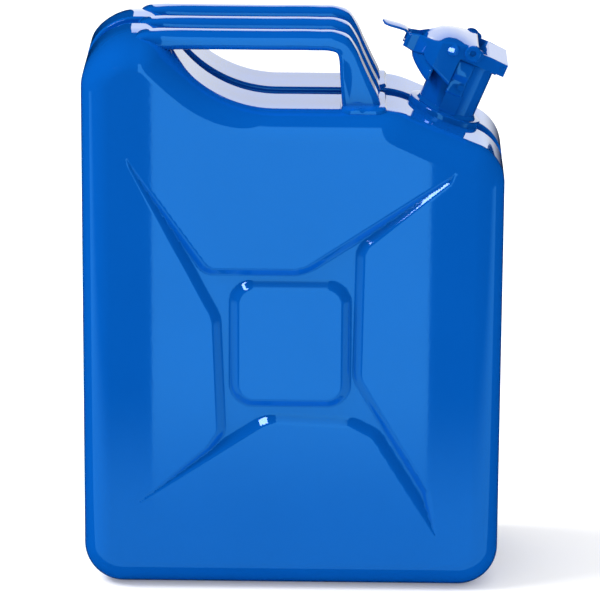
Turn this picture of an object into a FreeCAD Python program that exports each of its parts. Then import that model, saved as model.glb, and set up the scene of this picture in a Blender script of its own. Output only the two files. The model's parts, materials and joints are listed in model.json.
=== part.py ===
import FreeCAD, Part
import math
import os
from FreeCAD import Vector as V

# Twenty-litre pressed-steel jerry can with a cam-lever closure.  Millimetres.
# +Z up, +X towards the filler neck, -Y is the front face.
# The origin is the centre of the base, on the surface the can stands on.

# ---- driving dimensions --------------------------------------------------
WIDTH = 345.0
DEPTH = 165.0
SHEET = 1.0              # wall of the two body pressings
EDGE_R = 24.0            # round between the face and the side of a pressing

HUMP_TOP = 467.0
HUMP_R = 42.0            # outer corner of the hump
HUMP_END = -112.0        # where the level top of the hump stops
BROW_R = 30.0
VALLEY_TOP = 408.7       # level of the hand recess under the handles
VALLEY_START = -20.0
VALLEY_END = 74.0
VALLEY_R = 100.0         # concave sweep from the recess up to the hump
SHOULDER_R = 60.0
TILT = 22.5              # shoulder slope and neck lean, degrees
CORNER_R = 36.0          # shoulder to side
BASE_R = 33.0            # lower corners

SEAM_HALF = 10.0         # half width of the sunk seam channel
SEAM_DEPTH = 5.0
SEAM_LIP_R = 2.5
WELD_HALF = 1.5
WELD_WALL = 2.2

PRESS_DEPTH = 5.0        # depth of the cross-shaped stiffening press
SQUARE_C = (-1.3, 214.3)  # centre of the raised square, X and Z
SQUARE_W = 100.6
SQUARE_H = 110.5
SQUARE_R = 18.0
PRESS_SLOPE = 6.5        # width of a pressed slope

BAR_TOP = 470.0
BAR_BOTTOM = 453.5
BAR_W = 24.0
BAR_R = 4.5
BAR_PITCH = 44.0
BAR_WALL = 1.5
FOOT_T = 1.5

NECK_R = 24.0
NECK_WALL = 1.5
NECK_IN = 14.0           # how far the neck reaches into the tank
MOUTH = V(141.8, 0.0, 437.3)
COLLAR_R = 31.0
MOUTH_BORE_R = 20.0
MOUTH_BORE_L = 9.5
LIP_OUT = 1.2            # the mouth's lip past the neck
LIP_T = 1.5
BREATHER_R = 5.0
BREATHER_REACH = 130.0

PLATE = 1.3              # closure stampings
FLANGE_Y = 28.0          # outside of the lid's side flanges
CHEEK_Y = 30.6           # outside of the lever's cheeks
HINGE = (27.0, 8.5)      # lid hinge, along the mouth and above it
HINGE_PIN_R = 1.8
EYE = (-1.0, 12.0)       # lever pivot
EYE_R = 4.0
EAR_R = 5.4              # ear of the lid flange and rivet heads round the pivot
RUN = 0.05               # radial running clearance

SEAL_R = 24.6
SEAL_LOW = 1.8           # heights above the neck's end
SEAL_TOP = 4.3
DISC_TOP = 5.6
CUP_R = 17.6
RIVET_R = 3.5

os.makedirs("parts", exist_ok=True)


# ---- helpers -------------------------------------------------------------
def save(name, shape):
    if not shape.isValid():
        raise RuntimeError(name + " is not a valid shape")
    shape.exportStep("parts/%s.step" % name)
    print("%-18s solids %d  volume %.0f" % (name, len(shape.Solids), shape.Volume))


def mirror_y(shape):
    return shape.mirror(V(0, 0, 0), V(0, 1, 0))


def polygon_xz(points, y=0.0):
    pts = [V(x, y, z) for x, z in points]
    return Part.makePolygon(pts + [pts[0]])


def prism_y(points, y0, y1):
    face = Part.Face(polygon_xz(points, y0))
    return face.extrude(V(0, y1 - y0, 0))


def prism_z(points, z0, z1):
    pts = [V(x, y, z0) for x, y in points]
    return Part.Face(Part.makePolygon(pts + [pts[0]])).extrude(V(0, 0, z1 - z0))


def ribbon(points, wall):
    """Closed outline of a strip that lies to the left of a polyline."""
    left = []
    for i, (x, y) in enumerate(points):
        before = points[max(i - 1, 0)]
        after = points[min(i + 1, len(points) - 1)]
        normals = []
        for (ax, ay), (bx, by) in ((before, (x, y)), ((x, y), after)):
            length = math.hypot(bx - ax, by - ay)
            if length > 0:
                normals.append((-(by - ay) / length, (bx - ax) / length))
        nx = sum(n[0] for n in normals)
        ny = sum(n[1] for n in normals)
        size = math.hypot(nx, ny)
        nx, ny = nx / size, ny / size
        grow = wall / (nx * normals[0][0] + ny * normals[0][1])
        left.append((x + nx * grow, y + ny * grow))
    return list(points) + left[::-1]


def cylinder_z(radius, z0, z1, x=0.0, y=0.0):
    return Part.makeCylinder(radius, z1 - z0, V(x, y, z0))


def cylinder_y(radius, y0, y1, at):
    return Part.makeCylinder(radius, y1 - y0, V(at[0], y0, at[1]), V(0, 1, 0))


def tube_y(outer, inner, y0, y1, at):
    return cylinder_y(outer, y0, y1, at).cut(cylinder_y(inner, y0, y1, at))


def on_neck(shape):
    """Closure pieces are drawn upright on the mouth, then leaned with the neck."""
    placed = shape.copy()
    placed.rotate(V(0, 0, 0), V(0, 1, 0), TILT)
    placed.translate(MOUTH)
    return placed


# ---- body outline --------------------------------------------------------
def corner(before, at, after, radius):
    """Tangent arc of a rounded corner: its two ends and its middle point."""
    a = (before - at).normalize()
    b = (after - at).normalize()
    half = a.getAngle(b) / 2.0
    reach = radius / math.tan(half)
    centre = at + (a + b).normalize() * (radius / math.sin(half))
    middle = centre + (at - centre).normalize() * radius
    return at + a * reach, middle, at + b * reach


def arc_wire(arcs):
    """Closed wire of corner arcs joined by straight lines."""
    edges = []
    for i, (start, middle, end) in enumerate(arcs):
        edges.append(Part.Arc(start, middle, end).toShape())
        edges.append(Part.makeLine(end, arcs[(i + 1) % len(arcs)][0]))
    return Part.Wire(edges)


def body_outline():
    """The can seen from the front, as a closed wire of lines and arcs."""
    half = WIDTH / 2.0
    slope = math.tan(math.radians(TILT))
    shoulder_end = VALLEY_TOP - slope * (half - VALLEY_END - 8.0)
    hump_foot = V(VALLEY_START - 38.0, 0, VALLEY_TOP)
    hump_brow = V(HUMP_END, 0, HUMP_TOP)
    corners = [
        (V(-half, 0, 0), BASE_R),
        (V(-half, 0, HUMP_TOP), HUMP_R),
        (hump_brow, BROW_R),
        (hump_foot, VALLEY_R),
        (V(VALLEY_END + 8.0, 0, VALLEY_TOP), SHOULDER_R),
        (V(half, 0, shoulder_end), CORNER_R),
        (V(half, 0, 0), BASE_R),
    ]
    count = len(corners)
    arcs = []
    for i, (at, radius) in enumerate(corners):
        arcs.append(corner(corners[i - 1][0], at, corners[(i + 1) % count][0], radius))
    return arc_wire(arcs)


OUTLINE = body_outline()


def outline_face(inset, y):
    wire = OUTLINE.makeOffset2D(-inset) if inset else OUTLINE.copy()
    wire.translate(V(0, y, 0))
    return Part.Face(wire)


def rounded_slab(inset, front, back, front_r, back_r):
    """A slab of the outline between two Y planes, both rims rounded."""
    slab = outline_face(inset, front).extrude(V(0, back - front, 0))
    on_plane = lambda y: [e for e in slab.Edges
                          if abs(e.BoundBox.YMin - y) < 1e-4 and abs(e.BoundBox.YMax - y) < 1e-4]
    slab = slab.makeFillet(front_r, on_plane(front))
    return slab.makeFillet(back_r, on_plane(back))


# ---- the stiffening press ------------------------------------------------
RIM = [(-136, 375), (-68, 280), (8, 280), (133, 363), (129, 352), (60, 295), (58, 186),
       (116, 87), (122, 44), (67, 134), (50, 143), (-19, 146), (-138, 67), (-71, 125),
       (-62, 139), (-66, 236), (-133, 363)]
FLOOR = [(-106, 324), (-63, 273), (10, 273), (104, 332), (104, 332), (53, 292), (51, 187),
         (106, 89), (106, 89), (65, 126), (48, 136), (-20, 139), (-104, 97), (-66, 129),
         (-55, 141), (-59, 238), (-106, 324)]


def press_tool(y):
    """The sunk cross, cut from the front face at y, with the square left standing."""
    shift = y + PRESS_DEPTH
    faces = [Part.Face(polygon_xz(RIM, y))]
    floor = []
    for point in FLOOR:
        if point not in floor:
            floor.append(point)
    faces.append(Part.Face(polygon_xz(floor, shift)))
    count = len(RIM)
    for i in range(count):
        j = (i + 1) % count
        a, b = V(RIM[i][0], y, RIM[i][1]), V(RIM[j][0], y, RIM[j][1])
        c, d = V(FLOOR[i][0], shift, FLOOR[i][1]), V(FLOOR[j][0], shift, FLOOR[j][1])
        for tri in ((a, b, c), (b, d, c)):
            if min((tri[0] - tri[1]).Length, (tri[1] - tri[2]).Length, (tri[0] - tri[2]).Length) > 1e-6:
                faces.append(Part.Face(Part.makePolygon(list(tri) + [tri[0]])))
    cross = Part.Solid(Part.Shell(faces))
    if cross.Volume < 0:
        cross.reverse()
    return cross.cut(square_plateau(y))


def square_plateau(y):
    def ring(shrink, at):
        w = SQUARE_W / 2 - shrink
        h = SQUARE_H / 2 - shrink
        pts = [(-w, -h), (-w, h), (w, h), (w, -h)]
        vs = [V(SQUARE_C[0] + px, 0, SQUARE_C[1] + pz) for px, pz in pts]
        wire = arc_wire([corner(vs[i - 1], vs[i], vs[(i + 1) % 4], SQUARE_R - shrink)
                         for i in range(4)])
        wire.translate(V(0, at, 0))
        return wire
    return Part.makeLoft([ring(PRESS_SLOPE, y - 0.001), ring(0, y + PRESS_DEPTH + 0.001)], True, True)


# ---- body pressings ------------------------------------------------------
def half_block(inset):
    """Solid front half of the can, shrunk by inset all round."""
    front = -DEPTH / 2 + inset
    step = -SEAM_HALF - inset
    block = rounded_slab(inset, front, step, EDGE_R - inset, SEAM_LIP_R)
    land = outline_face(SEAM_DEPTH + inset, step - 1.0).extrude(V(0, 1.0 - step - WELD_HALF, 0))
    block = block.fuse(land).removeSplitter()
    return block.cut(press_tool(front))


def neck_hole():
    return on_neck(cylinder_z(NECK_R, -90, 10))


def front_shell():
    block = half_block(0.0)
    core = half_block(SHEET)
    opening = outline_face(SEAM_DEPTH + SHEET, -12.0).extrude(V(0, 12.0, 0))
    return block.cut(core).cut(opening).cut(neck_hole())


def body_envelope():
    """Outside of the whole closed body, used to trim what is welded to it."""
    front = half_block(0.0)
    middle = outline_face(SEAM_DEPTH, -WELD_HALF).extrude(V(0, 2 * WELD_HALF, 0))
    return front.fuse([mirror_y(front), middle])


def seam_weld():
    outer = outline_face(SEAM_DEPTH - 0.8, -WELD_HALF).extrude(V(0, 2 * WELD_HALF, 0))
    inner = outline_face(SEAM_DEPTH - 0.8 + WELD_WALL, -WELD_HALF).extrude(V(0, 2 * WELD_HALF, 0))
    return outer.cut(inner).cut(neck_hole())


# ---- carrying handles ----------------------------------------------------
def handle_outline():
    """Side view of one handle: a level bar and a leg that widens to its foot."""
    corners = [
        (V(-138, 0, BAR_TOP - 6), 5.5), (V(-122, 0, BAR_TOP), 12.0), (V(41.5, 0, BAR_TOP), 16.0),
        (V(74.0, 0, 397), 6.0), (V(39.4, 0, 397), 6.0), (V(36.0, 0, BAR_BOTTOM), 2.5),
        (V(-138, 0, BAR_BOTTOM), 5.5),
    ]
    count = len(corners)
    arcs = []
    for i, (at, radius) in enumerate(corners):
        arcs.append(corner(corners[i - 1][0], at, corners[(i + 1) % count][0], radius))
    return arc_wire(arcs)


def handle_block(inset):
    half = BAR_W / 2 - inset
    wire = handle_outline()
    if inset:
        wire = wire.makeOffset2D(-inset)
    wire.translate(V(0, -half, 0))
    block = Part.Face(wire).extrude(V(0, 2 * half, 0))
    rims = [e for e in block.Edges if e.BoundBox.YMax - e.BoundBox.YMin < 1e-4]
    return block.makeFillet(BAR_R - inset, rims)


def handle(y, envelope, pads):
    bar = handle_block(0.0).cut(handle_block(BAR_WALL))
    bar.translate(V(0, y, 0))
    bar = bar.cut(envelope)
    for pad in pads:
        bar = bar.cut(pad)
    return max(bar.Solids, key=lambda s: s.Volume)


def handle_foot():
    """Rounded pad welded to the recess under the front leg."""
    x0, x1, y0, y1, r = 36.0, 73.5, -58.0, -11.0, 8.0
    pad = Part.makeBox(x1 - x0, y1 - y0, FOOT_T, V(x0, y0, VALLEY_TOP))
    upright = [e for e in pad.Edges if abs(e.BoundBox.ZMax - e.BoundBox.ZMin - FOOT_T) < 1e-6]
    return pad.makeFillet(r, upright)


# ---- filler neck ---------------------------------------------------------
NECK_FOOT = -46.8        # where the neck's axis meets the shoulder


def filler_neck():
    z0 = NECK_FOOT - NECK_IN
    return cylinder_z(NECK_R, z0, 0).cut(cylinder_z(NECK_R - NECK_WALL, z0, 0))


def neck_collar():
    """Welded ring that seals the neck to the shoulder and bridges the seam channel."""
    ring = cylinder_z(COLLAR_R, NECK_FOOT - 5.4, NECK_FOOT + 2.0)
    ring = ring.makeFillet(1.2, [e for e in ring.Edges if abs(e.BoundBox.ZMin - NECK_FOOT - 2.0) < 1e-3])
    return ring.cut(cylinder_z(NECK_R, -80, 0))


def mouth_ring():
    low = LIP_T - MOUTH_BORE_L
    ring = cylinder_z(NECK_R - NECK_WALL, low, 0.0).fuse(cylinder_z(NECK_R + LIP_OUT, 0.0, LIP_T))
    ring = ring.cut(cylinder_z(MOUTH_BORE_R, low, LIP_T))
    return ring.removeSplitter()


def breather_tube():
    """Air pipe from just under the mouth, down the neck, then level below the handles."""
    lean = math.radians(TILT)
    start = V(-15, 0, -14)
    bend = V(-15, 0, -66)
    end = bend - V(math.cos(lean), 0, math.sin(lean)) * BREATHER_REACH
    first, middle, last = corner(start, bend, end, 18.0)
    path = Part.Wire([Part.makeLine(start, first), Part.Arc(first, middle, last).toShape(),
                      Part.makeLine(last, end)])
    pipes = []
    for radius in (BREATHER_R, BREATHER_R - 1.0):
        circle = Part.Wire(Part.makeCircle(radius, start, V(0, 0, 1)))
        pipes.append(path.makePipeShell([circle], True, False))
    return pipes[0].cut(pipes[1])


def neck_strap():
    """Joggled strap on the near side of the neck that the lever bears against."""
    path = [(-26.4, 2.2), (-26.4, -10.0), (-24.0, -14.0), (-24.0, -25.0)]
    outline = ribbon(path, -1.5)
    pts = [V(-7.0, y, z) for y, z in outline]
    strap = Part.Face(Part.makePolygon(pts + [pts[0]])).extrude(V(13.0, 0, 0))
    return strap.cut(cylinder_z(NECK_R, -60, 0))


def strap_base():
    block = Part.makeBox(14.0, 8.0, 18.0, V(-7.5, -25.4, -43.4))
    return block.cut(cylinder_z(NECK_R, -60, 0))


def strap_rivet():
    return cylinder_y(2.6, -27.0, -25.5, (2.0, -19.5))


def hinge_lug():
    """Short lug on the outer side of the lip, with a knuckle for the lid's pin."""
    lip, drop, width = NECK_R + LIP_OUT, 3.0, 12.0
    plate = Part.makeBox(1.2, width, HINGE[1] + drop, V(lip, -width / 2, -drop))
    foot = Part.makeBox(3.9, width, drop, V(lip - 2.7, -width / 2, -drop))
    knuckle = cylinder_y(3.4, -width / 2, width / 2, HINGE)
    lug = plate.fuse([foot, knuckle]).removeSplitter()
    lug = lug.cut(cylinder_z(NECK_R, -60, 0)).cut(cylinder_z(lip, 0, LIP_T))
    lug = lug.cut(cylinder_y(HINGE_PIN_R, -7, 7, HINGE))
    return max(lug.Solids, key=lambda s: s.Volume)


def hinge_pin():
    reach = FLANGE_Y + 0.9
    return cylinder_y(HINGE_PIN_R, -reach, reach, HINGE)


# ---- lid -----------------------------------------------------------------
def lid_yoke():
    """Folded cover: a stepped web between two side flanges, each with an ear for the lever."""
    side = [(-15, 2.7), (30.0, 2.7), (30.0, 13.0), (16, 14.0), (4.0, 14.0), (-6.0, 12.0), (-15, 9.0)]
    flanges = prism_y(side, -FLANGE_Y, FLANGE_Y).fuse(cylinder_y(EAR_R, -FLANGE_Y, FLANGE_Y, EYE))
    flanges = flanges.cut(Part.makeBox(60, 2 * (FLANGE_Y - PLATE), 40, V(-20, PLATE - FLANGE_Y, -5)))
    web = ribbon([(-15, DISC_TOP), (7, DISC_TOP), (14, 12.7), (30.0, 11.8)], PLATE)
    body = flanges.fuse(prism_y(web, PLATE - FLANGE_Y, FLANGE_Y - PLATE)).removeSplitter()
    body = body.cut(cylinder_y(HINGE_PIN_R + RUN, -40, 40, HINGE))
    body = body.cut(cylinder_y(EYE_R, -40, 40, EYE))
    return body.cut(cylinder_z(RIVET_R, 5, 30))


def lid_disc():
    """Round plate that carries the seal, notched round the hinge knuckle."""
    disc = cylinder_z(SEAL_R, SEAL_TOP, DISC_TOP)
    disc = disc.cut(Part.makeBox(12, 14, 12, V(HINGE[0] - 4.2, -7, 4.0)))
    return disc.cut(cylinder_z(RIVET_R, 0, 20))


def gasket():
    return cylinder_z(SEAL_R, SEAL_LOW, SEAL_TOP).cut(cylinder_z(CUP_R, SEAL_LOW, SEAL_TOP))


def gasket_retainer():
    """Shallow dish inside the seal ring, held up by the centre rivet."""
    dish = cylinder_z(CUP_R, SEAL_LOW, SEAL_TOP)
    dish = dish.cut(cylinder_z(CUP_R - 1.4, SEAL_LOW, SEAL_TOP - 1.2))
    return dish.cut(cylinder_z(RIVET_R, -5, 10))


def retainer_rivet():
    low = SEAL_TOP - 1.2
    high = DISC_TOP + PLATE
    shank = cylinder_z(RIVET_R, low - 1.2, high + 1.4)
    heads = [cylinder_z(6.0, low - 1.2, low), cylinder_z(6.0, high, high + 1.4)]
    return shank.fuse(heads).removeSplitter()


# ---- cam lever -----------------------------------------------------------
CHEEK = [(-54.3, 3.0), (-53.0, -9.2), (-44.5, -10.5), (-36.5, -17.8), (-26.5, -25.6),
         (-24.0, -26.2), (-9.0, -20.5), (-9.0, -3.2), (-11.0, -0.3), (-9.1, 3.7), (-6.5, 4.9),
         (3.8, 4.8), (6.6, 8.2), (7.6, 12.5), (6.0, 16.2), (-6.4, 16.3), (-13.6, 15.1),
         (-23.2, 12.7), (-33.5, 7.8)]
TAIL_HALF = 8.5


def lever_plan(half_wall):
    """Plan of the lever's outside: narrow tail flaring to the cheeks."""
    wide = CHEEK_Y - half_wall
    tail = TAIL_HALF - half_wall
    near = [(-54.3 + half_wall, -tail), (-44.0, -tail - 0.5), (-36.0, -15.0 + half_wall * 0.8),
            (-26.0, -wide), (12.0, -wide)]
    return near + [(x, -y) for x, y in near[::-1]]


def cam_lever():
    outer = prism_z(lever_plan(0.0), -30, 25)
    inner = prism_z(lever_plan(PLATE), -31, 26)
    wall = outer.cut(inner).cut(Part.makeBox(30, 80, 60, V(8, -40, -31)))
    walls = wall.common(prism_y(CHEEK, -40, 40))
    tray = ribbon([(-54.0, -9.2), (-43.0, -9.6), (-38.5, 3.0), (-31.0, 10.4), (-22.0, 14.9),
                   (-6.0, 16.2)], PLATE)
    skirt = ribbon([(-26.5, -25.6), (-36.5, -17.8), (-43.5, -10.2)], -PLATE)
    web = prism_y(tray, -40, 40).fuse(prism_y(skirt, -40, 40)).common(outer)
    tab_side = ribbon([(-53.4, 2.2), (-56.5, 3.6), (-75.5, 3.4)], -1.6)
    tab = prism_y(tab_side, -8.0, 8.0)
    tip = [e for e in tab.Edges if e.BoundBox.XMax < -74 and e.BoundBox.YMax - e.BoundBox.YMin < 1e-4]
    tab = tab.makeFillet(6.5, tip)
    lever = walls.fuse([web, tab]).removeSplitter()
    return lever.cut(cylinder_y(EYE_R + RUN, -40, 40, EYE))


def lever_pivot():
    """Hollow rivet through the near lid flange and the near cheek."""
    inner_y = FLANGE_Y - PLATE
    body = cylinder_y(EYE_R, -32.0, -inner_y + 0.8, EYE)
    head = cylinder_y(EAR_R, -32.0, -CHEEK_Y - RUN, EYE)
    tail = cylinder_y(EAR_R - 0.5, -inner_y, -inner_y + 0.8, EYE)
    return body.fuse([head, tail]).cut(cylinder_y(2.3, -40, -20, EYE)).removeSplitter()


def pivot_washer():
    return tube_y(EAR_R, EYE_R, -CHEEK_Y + PLATE + RUN, -FLANGE_Y, EYE)


# ---- build ---------------------------------------------------------------
envelope = body_envelope()
shell = front_shell()
save("shell_front", shell)
save("shell_rear", mirror_y(shell))
save("seam_weld", seam_weld())

foot = handle_foot()
save("handle_foot_front", foot)
save("handle_foot_rear", mirror_y(foot))
save("handle_front", handle(-BAR_PITCH, envelope, [foot]))
save("handle_middle", handle(0.0, envelope.fuse(seam_weld()), [foot, mirror_y(foot)]))
save("handle_rear", handle(BAR_PITCH, envelope, [mirror_y(foot)]))

save("filler_neck", on_neck(filler_neck()))
save("neck_collar", on_neck(neck_collar()).cut(envelope).cut(seam_weld()))
save("mouth_ring", on_neck(mouth_ring()))
save("breather_tube", on_neck(breather_tube()))
for side, place in (("near", lambda s: s), ("far", mirror_y)):
    save("neck_strap_" + side, on_neck(place(neck_strap())))
    save("strap_base_" + side, on_neck(place(strap_base())))
    save("strap_rivet_" + side, on_neck(place(strap_rivet())))
    save("lever_pivot_" + side, on_neck(place(lever_pivot())))
    save("pivot_washer_" + side, on_neck(place(pivot_washer())))
save("hinge_lug", on_neck(hinge_lug()))
save("hinge_pin", on_neck(hinge_pin()))

save("lid_yoke", on_neck(lid_yoke()))
save("lid_disc", on_neck(lid_disc()))
save("gasket", on_neck(gasket()))
save("gasket_retainer", on_neck(gasket_retainer()))
save("retainer_rivet", on_neck(retainer_rivet()))
save("cam_lever", on_neck(cam_lever()))
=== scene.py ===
import bpy
import bmesh
import json
import math
import numpy as np
from mathutils import Matrix, Vector
from mathutils.geometry import delaunay_2d_cdt


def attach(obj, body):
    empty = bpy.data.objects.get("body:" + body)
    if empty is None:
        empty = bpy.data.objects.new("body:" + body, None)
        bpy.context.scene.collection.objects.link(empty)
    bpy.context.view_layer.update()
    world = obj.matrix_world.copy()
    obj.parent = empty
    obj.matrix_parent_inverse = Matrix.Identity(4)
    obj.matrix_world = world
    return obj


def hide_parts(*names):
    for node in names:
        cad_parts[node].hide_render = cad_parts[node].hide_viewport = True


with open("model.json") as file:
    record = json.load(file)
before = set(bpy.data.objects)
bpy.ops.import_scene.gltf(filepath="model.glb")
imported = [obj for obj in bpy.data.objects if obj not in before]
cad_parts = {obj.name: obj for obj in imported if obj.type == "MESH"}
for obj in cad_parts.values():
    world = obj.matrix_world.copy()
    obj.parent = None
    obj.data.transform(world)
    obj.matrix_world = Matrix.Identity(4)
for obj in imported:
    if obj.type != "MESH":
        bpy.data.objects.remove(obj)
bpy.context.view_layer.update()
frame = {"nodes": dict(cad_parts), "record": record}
MM = 0.001

# ---- body dimensions, metres, as in the CAD part -------------------------
WIDTH = 345 * MM
DEPTH = 165 * MM
EDGE_R = 24 * MM
HUMP_TOP = 467 * MM
VALLEY_TOP = 408.7 * MM
VALLEY_END = 74 * MM
TILT = math.radians(22.5)
SEAM_HALF = 10 * MM
SEAM_DEPTH = 5 * MM
SEAM_FOOT_R = 1.2 * MM   # round at the foot of the seam channel
LIP_R = 2.5 * MM
DOME = 30 * MM           # how much deeper the edge round grows over the hump
DOME_START = 432 * MM
DOME_RISE = 35 * MM
MOUTH = Vector((141.8, 0, 437.3)) * MM
NECK_HOLE_R = 25.5 * MM  # hole in the shells for the neck
NECK_HOLE_REACH = 75 * MM
STEP = 2.5 * MM          # spacing of points along the outline

# ---- closure dimensions, millimetres in the mouth's own frame ------------
NECK_R = 24
NECK_BORE_R = 22.5
NECK_END = -60
NECK_FOOT = -46.8        # where the neck's axis meets the shoulder
COLLAR_R = 31.0
CHEEK_Y = 30.6           # half width across the lever's cheeks
LEVER_WALL = 1.3
PIVOT = (-1, 12)         # lever pivot, along and above the mouth


# ---- small mesh tools ----------------------------------------------------
def mesh_object(name, verts, faces, normals=None):
    mesh = bpy.data.meshes.new(name)
    mesh.from_pydata([tuple(v) for v in verts], [], [tuple(f) for f in faces])
    mesh.validate()
    mesh.update()
    for polygon in mesh.polygons:
        polygon.use_smooth = True
    if normals is not None:
        mesh.normals_split_custom_set_from_vertices([tuple(n) for n in normals])
    obj = bpy.data.objects.new(name, mesh)
    bpy.context.scene.collection.objects.link(obj)
    return obj


def piece(obj, body, slot, material, *nodes):
    obj.data.materials.clear()
    obj.data.materials.append(material)
    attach(obj, body)
    if nodes:
        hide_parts(*nodes)
    return obj


def smoothstep(t):
    t = np.clip(t, 0.0, 1.0)
    return t * t * (3 - 2 * t)


# ---- outline of the body -------------------------------------------------
def rounded_loop(corners, step):
    """Points and outward normals round a closed clockwise outline with rounded corners."""
    points, normals = [], []
    count = len(corners)
    ends = []
    for i, (at, radius) in enumerate(corners):
        at = np.array(at)
        a = np.array(corners[i - 1][0]) - at
        b = np.array(corners[(i + 1) % count][0]) - at
        a = a / np.linalg.norm(a)
        b = b / np.linalg.norm(b)
        half = math.acos(np.clip(a @ b, -1, 1)) / 2
        mid = (a + b) / np.linalg.norm(a + b)
        centre = at + mid * radius / math.sin(half)
        reach = radius / math.tan(half)
        ends.append((at + a * reach, at + b * reach, centre, radius))
    for i, (start, end, centre, radius) in enumerate(ends):
        va, vb = start - centre, end - centre
        sweep = math.atan2(va[0] * vb[1] - va[1] * vb[0], va @ vb)
        parts = max(6, int(abs(sweep) * radius / step))
        sign = -1.0 if sweep < 0 else 1.0
        for k in range(parts + 1):
            angle = sweep * k / parts
            c, s = math.cos(angle), math.sin(angle)
            r = np.array((va[0] * c - va[1] * s, va[0] * s + va[1] * c))
            points.append(centre + r)
            normals.append(-sign * r / radius)
        after = ends[(i + 1) % count][0]
        run = np.linalg.norm(after - end)
        direction = (after - end) / max(run, 1e-9)
        n = np.array((-direction[1], direction[0]))
        for k in range(1, max(2, int(run / step))):
            points.append(end + direction * run * k / max(2, int(run / step)))
            normals.append(n)
    return np.array(points), np.array(normals)


def body_corners():
    half = WIDTH / 2
    fall = math.tan(TILT) * (half - VALLEY_END - 8 * MM)
    return [((-half, 0), 33 * MM), ((-half, HUMP_TOP), 42 * MM), ((-112 * MM, HUMP_TOP), 30 * MM),
            ((-58 * MM, VALLEY_TOP), 100 * MM), ((VALLEY_END + 8 * MM, VALLEY_TOP), 60 * MM),
            ((half, VALLEY_TOP - fall), 36 * MM), ((half, 0), 33 * MM)]


OUT_P, OUT_N = rounded_loop(body_corners(), STEP)


# ---- the stiffening press ------------------------------------------------
PRESS_DEPTH = 5 * MM
SLOPE = 8.5 * MM         # width of a pressed slope
RIM = [((-136, 375), 1), ((-68, 280), 10), ((8, 280), 30), ((133, 363), 1), ((129, 352), 1),
       ((60, 295), 12), ((58, 186), 14), ((116, 87), 20), ((122, 44), 1), ((67, 134), 14),
       ((50, 143), 14), ((-19, 146), 30), ((-138, 67), 1), ((-71, 125), 9), ((-62, 139), 9),
       ((-66, 236), 24), ((-133, 363), 1)]


def rim_polygon():
    """The rim with its arcs, without the spare points on straight runs."""
    corners = [((x * MM, z * MM), r * MM) for (x, z), r in RIM]
    return rounded_loop(corners, 40 * MM)[0]


RIM_POLY = rim_polygon()


def polygon_distance(points, polygon):
    """Signed distance of many points to a closed polygon, negative inside."""
    px, pz = points[:, 0].copy(), points[:, 1].copy()
    best = np.full(len(points), 1e9)
    inside = np.zeros(len(points), bool)
    for (ax, az), (bx, bz) in zip(polygon, np.roll(polygon, -1, axis=0)):
        ex, ez = bx - ax, bz - az
        length2 = ex * ex + ez * ez
        if length2 < 1e-16:
            continue
        t = np.clip(((px - ax) * ex + (pz - az) * ez) / length2, 0, 1)
        best = np.minimum(best, (px - ax - t * ex) ** 2 + (pz - az - t * ez) ** 2)
        if abs(ez) > 1e-12:
            inside ^= ((az > pz) != (bz > pz)) & (px < ax + (pz - az) * ex / ez)
    return np.where(inside, -1.0, 1.0) * np.sqrt(best)


def square_distance(points):
    centre = np.array((-1.3, 214.3)) * MM
    half = np.array((50.3, 55.25)) * MM - SLOPE
    radius = 12 * MM
    q = np.abs(points - centre) - half + radius
    outside = np.linalg.norm(np.maximum(q, 0), axis=1)
    return outside + np.minimum(q.max(axis=1), 0) - radius


def ramp(t):
    """Straight slope from 0 to 1 with short rounds at its foot and brow."""
    t = np.clip(t, 0.0, 1.0)
    bend = 0.22
    top = 1.0 / (1.0 - bend)
    low = top * t * t / (2 * bend)
    high = 1.0 - top * (1 - t) ** 2 / (2 * bend)
    return np.where(t < bend, low, np.where(t > 1 - bend, high, top * (t - bend / 2)))


def press(points):
    """How far the face is pressed in at each point."""
    cross = ramp(-polygon_distance(points, RIM_POLY) / SLOPE)
    return PRESS_DEPTH * cross * ramp(square_distance(points) / SLOPE)


def press_gradient(points):
    d = 0.1 * MM
    gx = (press(points + (d, 0)) - press(points - (d, 0))) / (2 * d)
    gz = (press(points + (0, d)) - press(points - (0, d))) / (2 * d)
    return gx, gz


# ---- body shells ---------------------------------------------------------
def round_depth(points):
    """Depth of the edge round at each outline point, deeper over the domed hump."""
    return EDGE_R + DOME * smoothstep((points[:, 1] - DOME_START) / DOME_RISE)


def section(edge):
    """Rings from the seam channel to the face: Y, inset, and the normal's two parts."""
    rings = []
    for y in (1.2, 5.0, 8.8):
        rings.append((y * MM, SEAM_DEPTH, 1.0, 0.0))
    for k in range(1, 5):
        a = math.radians(90 * k / 4)
        rings.append((8.8 * MM + SEAM_FOOT_R * math.sin(a), SEAM_DEPTH - SEAM_FOOT_R * (1 - math.cos(a)),
                      math.cos(a), -math.sin(a)))
    for k in range(0, 7):
        a = math.radians(90 * k / 6)
        rings.append((SEAM_HALF + LIP_R * (1 - math.cos(a)), LIP_R * (1 - math.sin(a)),
                      math.sin(a), -math.cos(a)))
    flat = DEPTH / 2 - edge
    for k in range(1, 8):
        rings.append((SEAM_HALF + LIP_R + (flat - SEAM_HALF - LIP_R) * k / 8, 0.0, 1.0, 0.0))
    for k in range(0, 21):
        a = math.radians(90 * k / 20)
        n_out, n_face = math.cos(a) * edge, math.sin(a) * EDGE_R
        size = np.hypot(n_out, n_face)
        rings.append((flat + edge * math.sin(a), EDGE_R * (1 - math.cos(a)), n_out / size, n_face / size))
    return rings


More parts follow.
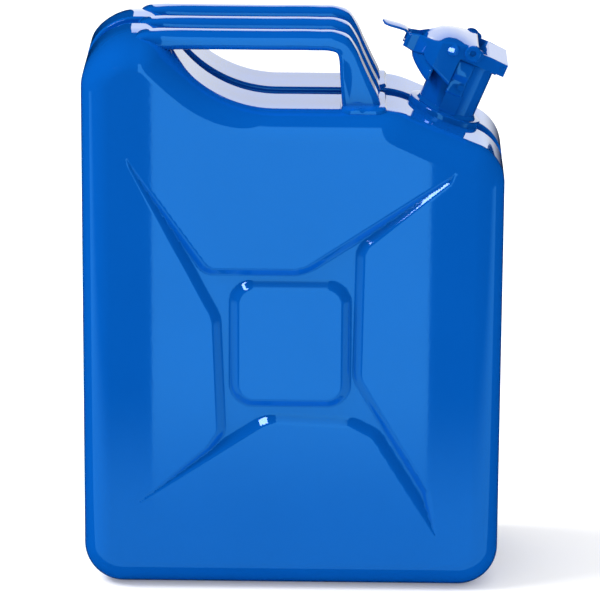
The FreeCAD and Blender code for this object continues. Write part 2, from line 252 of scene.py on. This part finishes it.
def face_points(loop):
    """Interior points of the face: an even grid, much finer over the pressed slopes."""
    low, high = loop.min(0), loop.max(0)
    chosen = []
    for pitch, fine in ((5 * MM, False), (1.25 * MM, True)):
        xs = np.arange(low[0], high[0], pitch)
        zs = np.arange(low[1], high[1], pitch)
        grid = np.array([(x + (pitch / 2 if j % 2 else 0), z) for j, z in enumerate(zs) for x in xs])
        grid = grid[polygon_distance(grid, loop[::4]) < -2.0 * MM]
        cross = polygon_distance(grid, RIM_POLY)
        square = square_distance(grid)
        busy = ((np.abs(cross + SLOPE / 2) < SLOPE / 2 + 1.5 * MM)
                | ((np.abs(square - SLOPE / 2) < SLOPE / 2 + 1.5 * MM) & (cross < 0)))
        chosen.append(grid[busy] if fine else grid[~busy])
    return np.vstack(chosen)


def neck_keeps(point):
    """False inside the hole where the neck passes through the shell."""
    offset = Vector(point) - MOUTH
    axis = Vector((math.sin(TILT), 0, math.cos(TILT)))
    along = offset.dot(axis)
    return along < -NECK_HOLE_REACH or (offset - axis * along).length > NECK_HOLE_R


def shell_mesh(name, side):
    """side is -1 for the front pressing and +1 for the rear one."""
    verts, normals, faces = [], [], []
    count = len(OUT_P)
    stations = section(round_depth(OUT_P))
    for y, inset, n_out, n_face in stations:
        ring = OUT_P - OUT_N * inset
        depths, outs, ins = (np.broadcast_to(a, count) for a in (y, n_out, n_face))
        for k, ((x, z), (nx, nz)) in enumerate(zip(ring, OUT_N)):
            verts.append((x, side * depths[k], z))
            normals.append((nx * outs[k], side * ins[k], nz * outs[k]))
    for r in range(len(stations) - 1):
        for i in range(count):
            j = (i + 1) % count
            quad = [r * count + i, r * count + j, (r + 1) * count + j, (r + 1) * count + i]
            faces.append(quad if side > 0 else quad[::-1])
    loop = OUT_P - OUT_N * EDGE_R
    inner = face_points(loop)
    flat = np.vstack([loop, inner])
    result = delaunay_2d_cdt([Vector(p) for p in flat], [(i, (i + 1) % count) for i in range(count)],
                             [], 1, 1e-7)
    coords = np.array([tuple(v) for v in result[0]])
    depth = press(coords)
    gx, gz = press_gradient(coords)
    base = len(verts) - count
    remap = {}
    for index, origin in enumerate(result[3]):
        ring_vertex = [o for o in origin if o < count]
        if ring_vertex:
            remap[index] = base + ring_vertex[0]
            continue
        remap[index] = len(verts)
        x, z = coords[index]
        verts.append((x, side * (DEPTH / 2 - depth[index]), z))
        n = Vector((gx[index], side, gz[index])).normalized()
        normals.append(tuple(n))
    for tri in result[2]:
        mapped = [remap[i] for i in tri]
        faces.append(mapped if side < 0 else mapped[::-1])
    kept = [f for f in faces if all(neck_keeps(verts[i]) for i in f)]
    return mesh_object(name, verts, kept, normals)


# ---- fittings ------------------------------------------------------------
def grid_mesh(name, rows, closed=False, caps=False, sharp=38):
    """Quads over rows of points; closed joins each row's last point to its first."""
    width = len(rows[0])
    verts = [p for row in rows for p in row]
    faces = []
    for r in range(len(rows) - 1):
        for i in range(width if closed else width - 1):
            j = (i + 1) % width
            faces.append((r * width + i, r * width + j, (r + 1) * width + j, (r + 1) * width + i))
    if caps:
        faces.append(tuple(range(width))[::-1])
        faces.append(tuple((len(rows) - 1) * width + i for i in range(width)))
    obj = mesh_object(name, verts, faces)
    tidy = bmesh.new()
    tidy.from_mesh(obj.data)
    bmesh.ops.remove_doubles(tidy, verts=tidy.verts, dist=1e-6)
    bmesh.ops.recalc_face_normals(tidy, faces=tidy.faces)
    tidy.to_mesh(obj.data)
    tidy.free()
    obj.data.set_sharp_from_angle(angle=math.radians(sharp))
    return obj


def thicken(obj, wall, inward=True):
    solid = obj.modifiers.new("wall", "SOLIDIFY")
    solid.thickness = wall * MM
    solid.offset = -1 if inward else 1
    return obj


def spread(stations, count):
    """Evenly resampled stations of numbers, in between joined by smooth curves."""
    data = np.array(stations, float)
    run = np.r_[0, np.cumsum(np.linalg.norm(np.diff(data[:, :4], axis=0), axis=1))]
    at = np.linspace(0, run[-1], count)
    slopes = np.gradient(data, run, axis=0)
    out = []
    for t in at:
        k = min(int(np.searchsorted(run, t, side="right")) - 1, len(run) - 2)
        h = run[k + 1] - run[k]
        f = (t - run[k]) / h
        start, leave = 2 * f ** 3 - 3 * f ** 2 + 1, f ** 3 - 2 * f ** 2 + f
        end, arrive = 3 * f ** 2 - 2 * f ** 3, f ** 3 - f ** 2
        out.append(start * data[k] + leave * h * slopes[k] + end * data[k + 1] + arrive * h * slopes[k + 1])
    return out


# Inner X, Z and outer X, Z of each section, half width, squareness, flute depth.
HANDLE = [(-134, 452, -133, 461, 9.0, 3.2, 0), (-124, 453, -125, 467.5, 11.0, 3.6, 0),
          (-112, 453.5, -112, 469.6, 11.9, 3.2, 0), (-98, 453.8, -98, 470, 12, 2.6, 0),
          (-70, 454, -70, 470, 12, 2.4, 0), (-20, 454, -20, 470, 12, 2.4, 0),
          (16, 454, 20, 470, 12, 2.4, 0), (29, 453.8, 35, 469.2, 12, 2.6, 0.1),
          (34.6, 452.4, 44, 465.5, 12, 3.2, 0.3), (36.4, 448, 50, 457, 12, 4.2, 0.6),
          (37.4, 436, 56.4, 443, 12, 8.0, 0.9), (38.4, 422, 63.4, 428, 12, 9.0, 0.9),
          (39.4, 409, 70.2, 413, 12, 9.0, 0.8), (39.8, 404, 71.6, 406, 12, 9.0, 0.8)]


def handle_mesh(name, y):
    """One handle bar at y, from its nose on the hump to its leg in the recess."""
    around = 48
    rows = []
    for ix, iz, ox, oz, half, square, flute in spread(HANDLE, 90):
        row = []
        for k in range(around):
            a = 2 * math.pi * (k + 0.5) / around
            c, s = math.cos(a), math.sin(a)
            across = half * math.copysign(abs(c) ** (2 / square), c)
            t = 0.5 + 0.5 * math.copysign(abs(s) ** (2 / square), s)
            groove = flute * (math.exp(-((t - 0.3) / 0.07) ** 2) + math.exp(-((t - 0.62) / 0.07) ** 2))
            across -= math.copysign(groove, c) * min(1.0, 2 * abs(c))
            row.append(((ix + (ox - ix) * t) * MM, (y + across) * MM, (iz + (oz - iz) * t) * MM))
        rows.append(row)
    return grid_mesh(name, rows, closed=True, caps=True, sharp=60)


def foot_mesh(name, side):
    """Welded foot that drapes from the recess over the round of the body."""
    x0, x1, reach, corner, inner = 38.0, 76.0, 61.0, 9.0, 9.0
    edge_r, recess = EDGE_R / MM, VALLEY_TOP / MM
    flat = DEPTH / 2 / MM - edge_r - inner
    rows = []
    for i in range(40):
        x = x0 + (x1 - x0) * i / 39
        row = []
        for k in range(64):
            s = reach * k / 63
            run = max(0.0, s - flat)
            a = run / edge_r
            y = inner + min(s, flat) + edge_r * math.sin(a)
            drop = edge_r * (1 - math.cos(a))
            qx = max(abs(x - (x0 + x1) / 2) - (x1 - x0) / 2 + corner, 0)
            qs = max(abs(s - reach / 2) - reach / 2 + corner, 0)
            edge = corner - math.hypot(qx, qs)
            lift = -1.0 + 3.4 * float(smoothstep(edge / 1.6))
            lift += 1.3 * math.exp(-((x - 52) / 4.5) ** 2 - ((s - reach + 3.5) / 2.2) ** 2)
            row.append((x * MM, side * (y + lift * math.sin(a)) * MM,
                        (recess - drop + lift * math.cos(a)) * MM))
        rows.append(row)
    return thicken(grid_mesh(name, rows), 0.8)


def at_mouth(v, y, u):
    """A point v along and u above the leaning mouth, y across it, all millimetres."""
    c, s = math.cos(TILT), math.sin(TILT)
    return (MOUTH.x + (v * c + u * s) * MM, y * MM, MOUTH.z + (u * c - v * s) * MM)


def turned_z(name, profile, centre=(0, 0), count=64):
    """Closed ring of (radius, height) pairs turned about the mouth's own axis."""
    rows = []
    for radius, height in profile + profile[:1]:
        rows.append([at_mouth(centre[0] + radius * math.cos(2 * math.pi * k / count),
                              centre[1] + radius * math.sin(2 * math.pi * k / count), height)
                     for k in range(count)])
    return grid_mesh(name, rows, closed=True)


def turned_y(name, profile, centre, count=40):
    """Closed ring of (radius, y) pairs turned about a pin across the mouth."""
    rows = []
    for radius, y in profile + profile[:1]:
        rows.append([at_mouth(centre[0] + radius * math.cos(2 * math.pi * k / count), y,
                              centre[1] + radius * math.sin(2 * math.pi * k / count))
                     for k in range(count)])
    return grid_mesh(name, rows, closed=True)


def neck_mesh():
    """Plain tube from the mouth down through the shoulder."""
    return turned_z("neck_tube", [(NECK_R, 0), (NECK_R, NECK_END / 2), (NECK_R, NECK_END),
                                  (NECK_BORE_R, NECK_END), (NECK_BORE_R, 0)], count=96)


def collar_mesh():
    """Welded flange at the foot of the neck, wide enough to cover the hole in the shells."""
    foot, rim, inner = NECK_FOOT, COLLAR_R, 22.6
    return turned_z("neck_foot", [(inner, -41.5), (24.5, -41.9), (25.1, -43.2), (26.2, -44.5),
                                  (28.0, foot + 2.0), (rim - 1.2, foot + 2.0), (rim - 0.35, foot + 1.65),
                                  (rim, foot + 0.8), (rim, foot - 5.4), (inner, foot - 5.4)], count=96)


# Along, cheek low, cheek top, half width, crown, of each section of the lever.
LEVER = [(-54.0, -9.0, 2.8, 8.5, -8.0), (-50.0, -9.5, 3.6, 8.7, -9.0), (-44.5, -10.4, 5.0, 9.0, -9.0),
         (-40.5, -8.6, 6.0, 13.9, -5.0), (-36.5, -6.4, 7.0, 18.9, -1.0), (-33.5, -10.0, 7.9, 22.6, 0.6),
         (-30.0, -11.4, 9.6, 26.9, 1.6), (-27.0, -11.8, 11.2, 30.6, 2.4), (-23.2, -13.6, 12.7, 30.6, 2.8),
         (-17.0, -16.6, 14.4, 30.6, 2.8), (-13.0, -18.6, 15.2, 30.6, 2.4), (-9.2, -20.5, 15.8, 30.6, 1.8),
         (-9.0, -3.2, 15.8, 30.6, 1.8), (-8.4, 3.2, 16.0, 30.6, 1.6), (-6.4, 4.9, 16.3, 30.6, 1.2),
         (-3.0, 4.9, 16.7, 30.6, 0.7), (0.5, 4.9, 16.9, 30.6, 0.2), (2.4, 5.0, 16.9, 30.6, -0.1)]
EAR = [(2.4, 5.0, 16.9), (4.0, 5.6, 16.8), (5.6, 7.0, 16.4), (7.0, 9.2, 15.4), (7.8, 11.4, 13.6)]


def lever_mesh():
    """Crowned lever with two cheeks, swept along its length."""
    rows = []
    for v, low, top, half, crown in LEVER:
        row = [(-half, low + (top - 1.6 - low) * k / 12) for k in range(13)]
        row += [(-half + 0.12, top - 1.0), (-half + 0.47, top - 0.47), (-half + 1.0, top - 0.12),
                (-half + 1.6, top)]
        inner = half - 1.6
        for k in range(1, 18):
            y = -inner + 2 * inner * k / 18
            row.append((y, top + crown * (1 - abs(y / inner) ** (2.4 if crown > 0 else 5))))
        row += [(-y, u) for y, u in row[16::-1]]
        rows.append([at_mouth(v, y, u) for y, u in row])
    return thicken(grid_mesh("lever_body", rows, sharp=28), LEVER_WALL)


def lever_ear(name, side):
    """Flat end of a cheek, past the crown, round the pivot."""
    rows = [[at_mouth(v, side * CHEEK_Y, low + (top - low) * k / 8) for k in range(9)]
            for v, low, top in EAR]
    return thicken(grid_mesh(name, rows), LEVER_WALL, inward=side < 0)


def lever_skirt():
    """Rounded pan between the cheeks, below the tail."""
    path = [(-45.0, -9.5, 7.2), (-44.6, -12.0, 8.0), (-43.0, -14.8, 10.0), (-40.0, -17.6, 13.0),
            (-36.0, -20.3, 17.8), (-31.0, -23.2, 23.4), (-27.5, -24.8, 27.0), (-25.6, -25.2, 28.4)]
    rows = []
    for v, u, half in path:
        high = min(u + 14.0, -2.0)
        row = [(-half, high), (-half, (high + u) / 2), (-half, u + 3.0), (-half + 0.6, u + 1.3),
               (-half + 2.0, u + 0.3)]
        row += [((half - 3.5) * (k - 6) / 6, u) for k in range(13)]
        row += [(-y, w) for y, w in row[4::-1]]
        rows.append([at_mouth(v, y, w) for y, w in row])
    return thicken(grid_mesh("lever_skirt", rows), 1.2)


def lever_nib():
    """Pressed nib on the near cheek."""
    centre = Vector(at_mouth(-17.9, -31.0, 9.0))
    out = Vector((-0.34, -0.84, 0.43)).normalized()
    across = out.cross(Vector((0, 0, 1))).normalized()
    up = across.cross(out)
    rows = []
    for radius, lift in ((0.2, 0.9), (3.8, 0.88), (4.7, 0.7), (5.2, 0.1), (5.4, -1.0), (5.4, -3.6),
                         (0.2, -3.6)):
        rows.append([tuple(centre + (across * radius * math.cos(2 * math.pi * k / 32)
                                     + up * radius * math.sin(2 * math.pi * k / 32) + out * lift) * MM)
                     for k in range(32)])
    return grid_mesh("lever_nib", rows, closed=True, caps=True, sharp=60)


def lever_tab():
    """Thumb tab, rounded at its end."""
    path = [(-52.6, 1.6, 7.6), (-54.6, 3.6, 7.9), (-57.5, 4.6, 8.2), (-62.0, 4.4, 8.5), (-70.0, 3.4, 8.4),
            (-74.0, 3.2, 7.0), (-75.8, 3.3, 4.6), (-76.5, 3.4, 2.0)]
    rows = [[at_mouth(v, half * (k - 6) / 6, u - 0.5 * ((k - 6) / 6) ** 2) for k in range(13)]
            for v, u, half in path]
    return thicken(grid_mesh("lever_tab", rows), 1.6)


def strap_mesh(name, side):
    """Joggled strap down the side of the neck."""
    path = [(2.2, 26.6), (0.0, 27.4), (-4.0, 28.0), (-9.0, 27.8), (-12.0, 26.6), (-14.6, 25.2),
            (-19.0, 24.9), (-23.0, 25.6), (-26.0, 26.4), (-27.6, 25.6), (-28.2, 24.2)]
    rows = [[at_mouth(-8.5 + 13.5 * k / 12, side * (y - 0.5 * ((k - 6) / 6) ** 4), u) for k in range(13)]
            for u, y in path]
    return thicken(grid_mesh(name, rows), 1.4, inward=side < 0)


# ---- materials -----------------------------------------------------------
def enamel(name, colour, deep, roughness=0.03, peel=0.25):
    """Glossy enamel over steel: faint colour drift, thin film of haze and orange peel."""
    material = bpy.data.materials.new(name)
    material.use_nodes = True
    tree = material.node_tree
    nodes, links = tree.nodes, tree.links
    shader = nodes["Principled BSDF"]
    coords = nodes.new("ShaderNodeTexCoord")
    drift = nodes.new("ShaderNodeTexNoise")
    drift.inputs["Scale"].default_value = 9.0
    drift.inputs["Detail"].default_value = 4.0
    links.new(coords.outputs["Object"], drift.inputs["Vector"])
    ramp = nodes.new("ShaderNodeValToRGB")
    ramp.color_ramp.elements[0].position = 0.30
    ramp.color_ramp.elements[0].color = (*deep, 1)
    ramp.color_ramp.elements[1].position = 0.72
    ramp.color_ramp.elements[1].color = (*colour, 1)
    links.new(drift.outputs["Fac"], ramp.inputs["Fac"])
    links.new(ramp.outputs["Color"], shader.inputs["Base Color"])
    haze = nodes.new("ShaderNodeTexNoise")
    haze.inputs["Scale"].default_value = 30.0
    haze.inputs["Detail"].default_value = 3.0
    links.new(coords.outputs["Object"], haze.inputs["Vector"])
    span = nodes.new("ShaderNodeMapRange")
    span.inputs["To Min"].default_value = roughness * 0.7
    span.inputs["To Max"].default_value = roughness * 1.4
    links.new(haze.outputs["Fac"], span.inputs["Value"])
    links.new(span.outputs["Result"], shader.inputs["Roughness"])
    skin = nodes.new("ShaderNodeTexNoise")
    skin.inputs["Scale"].default_value = 420.0
    skin.inputs["Detail"].default_value = 2.0
    links.new(coords.outputs["Object"], skin.inputs["Vector"])
    bump = nodes.new("ShaderNodeBump")
    bump.inputs["Strength"].default_value = peel
    bump.inputs["Distance"].default_value = 0.00002
    links.new(skin.outputs["Fac"], bump.inputs["Height"])
    links.new(bump.outputs["Normal"], shader.inputs["Normal"])
    shader.inputs["Metallic"].default_value = 0.3
    shader.inputs["IOR"].default_value = 1.5
    shader.inputs["Coat Weight"].default_value = 0.6
    shader.inputs["Coat Roughness"].default_value = 0.015
    return material


def plain(name, colour, roughness, metallic, grain, depth):
    """Steel, rubber and other small parts, with a fine grain in tone and surface."""
    material = bpy.data.materials.new(name)
    material.use_nodes = True
    tree = material.node_tree
    nodes, links = tree.nodes, tree.links
    shader = nodes["Principled BSDF"]
    coords = nodes.new("ShaderNodeTexCoord")
    noise = nodes.new("ShaderNodeTexNoise")
    noise.inputs["Scale"].default_value = grain
    noise.inputs["Detail"].default_value = 5.0
    links.new(coords.outputs["Object"], noise.inputs["Vector"])
    ramp = nodes.new("ShaderNodeValToRGB")
    ramp.color_ramp.elements[0].color = (*[c * 0.7 for c in colour], 1)
    ramp.color_ramp.elements[1].color = (*[min(1, c * 1.2) for c in colour], 1)
    links.new(noise.outputs["Fac"], ramp.inputs["Fac"])
    links.new(ramp.outputs["Color"], shader.inputs["Base Color"])
    span = nodes.new("ShaderNodeMapRange")
    span.inputs["To Min"].default_value = roughness * 0.8
    span.inputs["To Max"].default_value = roughness * 1.25
    links.new(noise.outputs["Fac"], span.inputs["Value"])
    links.new(span.outputs["Result"], shader.inputs["Roughness"])
    bump = nodes.new("ShaderNodeBump")
    bump.inputs["Strength"].default_value = 0.3
    bump.inputs["Distance"].default_value = depth
    links.new(noise.outputs["Fac"], bump.inputs["Height"])
    links.new(bump.outputs["Normal"], shader.inputs["Normal"])
    shader.inputs["Metallic"].default_value = metallic
    return material


BLUE = enamel("blue_enamel", (0.0016, 0.120, 0.57), (0.0012, 0.113, 0.54))
BLUE_FIT = enamel("blue_enamel_fittings", (0.0016, 0.106, 0.52), (0.001, 0.098, 0.48), 0.05, 0.5)
STEEL = plain("zinc_steel", (0.55, 0.56, 0.58), 0.35, 1.0, 700, 0.00002)
RUBBER = plain("seal_rubber", (0.02, 0.02, 0.022), 0.7, 0.0, 900, 0.00004)
SLOTS = {"body_paint": BLUE, "closure_paint": BLUE_FIT, "mouth_steel": BLUE_FIT,
         "pin_steel": STEEL, "seal_rubber": RUBBER}


# ---- carried CAD nodes ---------------------------------------------------
def dress_cad():
    """Give every CAD node its material, soft edges and smooth shading."""
    slots = {s["node"]: s["material_slot"] for s in frame["record"]["subparts"]}
    for name, obj in frame["nodes"].items():
        obj.data.materials.clear()
        obj.data.materials.append(SLOTS[slots[name]])
        for polygon in obj.data.polygons:
            polygon.use_smooth = True
        bevel = obj.modifiers.new("soft_edges", "BEVEL")
        bevel.width = 0.35 * MM
        bevel.segments = 2
        bevel.limit_method = "ANGLE"
        bevel.angle_limit = math.radians(40)
        bevel.harden_normals = True


# ---- stage ---------------------------------------------------------------
def look_at(obj, target):
    obj.rotation_euler = (Vector(target) - obj.location).to_track_quat("-Z", "Y").to_euler()


def glow(name, strength, tint=(1, 1, 1), fades=()):
    """Emission; each fade (axis, clear, full) thins it smoothly between two coordinates."""
    material = bpy.data.materials.new(name)
    material.use_nodes = True
    nodes, links = material.node_tree.nodes, material.node_tree.links
    nodes.remove(nodes["Principled BSDF"])
    emission = nodes.new("ShaderNodeEmission")
    emission.inputs["Color"].default_value = (*tint, 1)
    emission.inputs["Strength"].default_value = strength
    result = emission.outputs["Emission"]
    for axis, clear, full in fades:
        coords = nodes.new("ShaderNodeTexCoord")
        split = nodes.new("ShaderNodeSeparateXYZ")
        links.new(coords.outputs["Object"], split.inputs["Vector"])
        span = nodes.new("ShaderNodeMapRange")
        span.interpolation_type = "SMOOTHSTEP"
        span.inputs["From Min"].default_value = clear
        span.inputs["From Max"].default_value = full
        links.new(split.outputs[axis], span.inputs["Value"])
        mix = nodes.new("ShaderNodeMixShader")
        links.new(span.outputs["Result"], mix.inputs["Fac"])
        links.new(nodes.new("ShaderNodeBsdfTransparent").outputs["BSDF"], mix.inputs[1])
        links.new(result, mix.inputs[2])
        result = mix.outputs["Shader"]
    links.new(result, nodes["Material Output"].inputs["Surface"])
    return material


def reflector(name, verts, strength, tint=(1, 1, 1), fades=()):
    """A glowing four-cornered card that only reflections see."""
    card = mesh_object(name, verts, [(0, 1, 2, 3)])
    card.data.materials.append(glow(name + "_glow", strength, tint, fades))
    card.visible_camera = False
    card.visible_diffuse = False
    card.visible_shadow = False


def facing_card(name, centre, aim, half_width, half_height, strength):
    """A reflector turned towards a point; at zero strength it is a black flag."""
    forward = (aim - centre).normalized()
    across = forward.cross(Vector((0, 0, 1))).normalized() * half_width
    up = across.cross(forward).normalized() * half_height
    reflector(name, [centre - across - up, centre + across - up, centre + across + up,
                     centre - across + up], strength)


def upright_card(name, y, sides, heights, strength, tint, fade):
    """A reflector standing across Y, thinned along its height."""
    (left, right), (low, high) = sides, heights
    reflector(name, [(left, y, low), (right, y, low), (right, y, high), (left, y, high)], strength,
              tint, (("Z", *fade),))


def cards():
    """Studio panels, placed so that the glossy paint mirrors them where it should."""
    cool, warm = (0.28, 0.97, 0.80), (1.0, 1.0, 0.92)
    upright_card("front_card", -1.08, (-0.165, 0.1315), (-0.45, 1.9), 1.0, cool, (1.9, 1.5))
    near, far, half = -0.10, -0.64, 2.0
    reflector("floor_card", [(-half, near, 0.0001), (half, near, 0.0001), (half, far, 0.0001),
                             (-half, far, 0.0001)], 0.5, cool, (("Y", far, -0.22),))
    upright_card("back_card", 1.0, (-0.22, 0.44), (0.10, 0.98), 1.35, warm, (0.10, 0.5))
    centre, aim = Vector((-0.58, -0.70, 1.02)), Vector((0, -0.08, 0.25))
    facing_card("spark_card", centre, aim, 0.17, 0.10, 9.0)
    hump = Vector((-0.125, -0.08, 0.435))
    facing_card("hump_flag", hump.lerp(centre, 0.25), hump, 0.075, 0.055, 0.0)


def stage():
    """White world, pale floor, the cards and one soft sun."""
    world = bpy.data.worlds.new("studio")
    bpy.context.scene.world = world
    world.use_nodes = True
    world.node_tree.nodes["Background"].inputs["Color"].default_value = (1, 1, 1, 1)
    world.node_tree.nodes["Background"].inputs["Strength"].default_value = 1.0
    world.cycles_visibility.glossy = False
    bpy.ops.mesh.primitive_plane_add(size=30, location=(0, 0, 0))
    floor = bpy.context.object
    floor.name = "floor"
    material = bpy.data.materials.new("white_floor")
    material.use_nodes = True
    shader = material.node_tree.nodes["Principled BSDF"]
    shader.inputs["Base Color"].default_value = (0.9, 0.9, 0.9, 1)
    shader.inputs["Roughness"].default_value = 0.9
    shader.inputs["Specular IOR Level"].default_value = 0.1
    shader.inputs["Emission Color"].default_value = (1, 1, 1, 1)
    shader.inputs["Emission Strength"].default_value = 0.18
    floor.data.materials.append(material)
    floor.visible_glossy = False
    cards()
    sun = bpy.data.lights.new("key", "SUN")
    sun.energy = 2.4
    sun.angle = math.radians(28)
    key = bpy.data.objects.new("key", sun)
    key.location = (-1.6, -0.2, 1.9)
    bpy.context.scene.collection.objects.link(key)
    look_at(key, (0, 0, 0))
    key.visible_glossy = False


def camera():
    """Long lens, a little above and to the right, slightly rolled."""
    azimuth, elevation, roll = math.radians(0.768), math.radians(17.16), math.radians(0.357)
    distance = 3.5
    sensor, image_width, focal = 36, 600, 4181.4
    target = Vector((0.005523, 0, 0.227764))
    back = Vector((math.sin(azimuth) * math.cos(elevation), -math.cos(azimuth) * math.cos(elevation),
                   math.sin(elevation)))
    data = bpy.data.cameras.new("camera")
    data.sensor_width = sensor
    data.lens = focal / image_width * sensor
    obj = bpy.data.objects.new("camera", data)
    right = (-back).cross(Vector((0, 0, 1))).normalized()
    up = right.cross(-back)
    turned = Matrix((right * math.cos(roll) + up * math.sin(roll),
                     up * math.cos(roll) - right * math.sin(roll), back)).transposed()
    obj.matrix_world = Matrix.Translation(target + back * distance) @ turned.to_4x4()
    bpy.context.scene.collection.objects.link(obj)
    bpy.context.scene.camera = obj


# ---- build ---------------------------------------------------------------
bpy.context.scene.view_settings.view_transform = "Standard"
dress_cad()
for name, side in (("front", -1), ("rear", 1)):
    piece(shell_mesh("body_shell_" + name, side), "can", "body_paint", BLUE, "shell_" + name)
    piece(foot_mesh("foot_" + name, side), "can", "body_paint", BLUE, "handle_foot_" + name)
for name, y in (("front", -44), ("middle", 0), ("rear", 44)):
    piece(handle_mesh("bar_" + name, y), "can", "body_paint", BLUE, "handle_" + name)
piece(neck_mesh(), "can", "closure_paint", BLUE_FIT, "filler_neck")
piece(collar_mesh(), "can", "closure_paint", BLUE_FIT, "neck_collar")
piece(lever_mesh(), "lever", "closure_paint", BLUE_FIT, "cam_lever")
piece(lever_skirt(), "lever", "closure_paint", BLUE_FIT)
piece(lever_tab(), "lever", "closure_paint", BLUE_FIT)
piece(lever_nib(), "lever", "closure_paint", BLUE_FIT)
EYE_RING = [(2.6, -31.0), (2.6, -32.2), (3.6, -33.0), (5.6, -33.0), (6.6, -32.2), (6.8, -30.4)]
for name, side in (("near", 1), ("far", -1)):
    ring = [(r, y * side) for r, y in EYE_RING]
    piece(turned_y("lever_eye_" + name, ring, PIVOT), "lever", "closure_paint", BLUE_FIT)
    piece(lever_ear("lever_ear_" + name, -side), "lever", "closure_paint", BLUE_FIT)
    strap = strap_mesh("strap_" + name, -side)
    piece(strap, "can", "closure_paint", BLUE_FIT, "neck_strap_" + name)
stage()
camera()
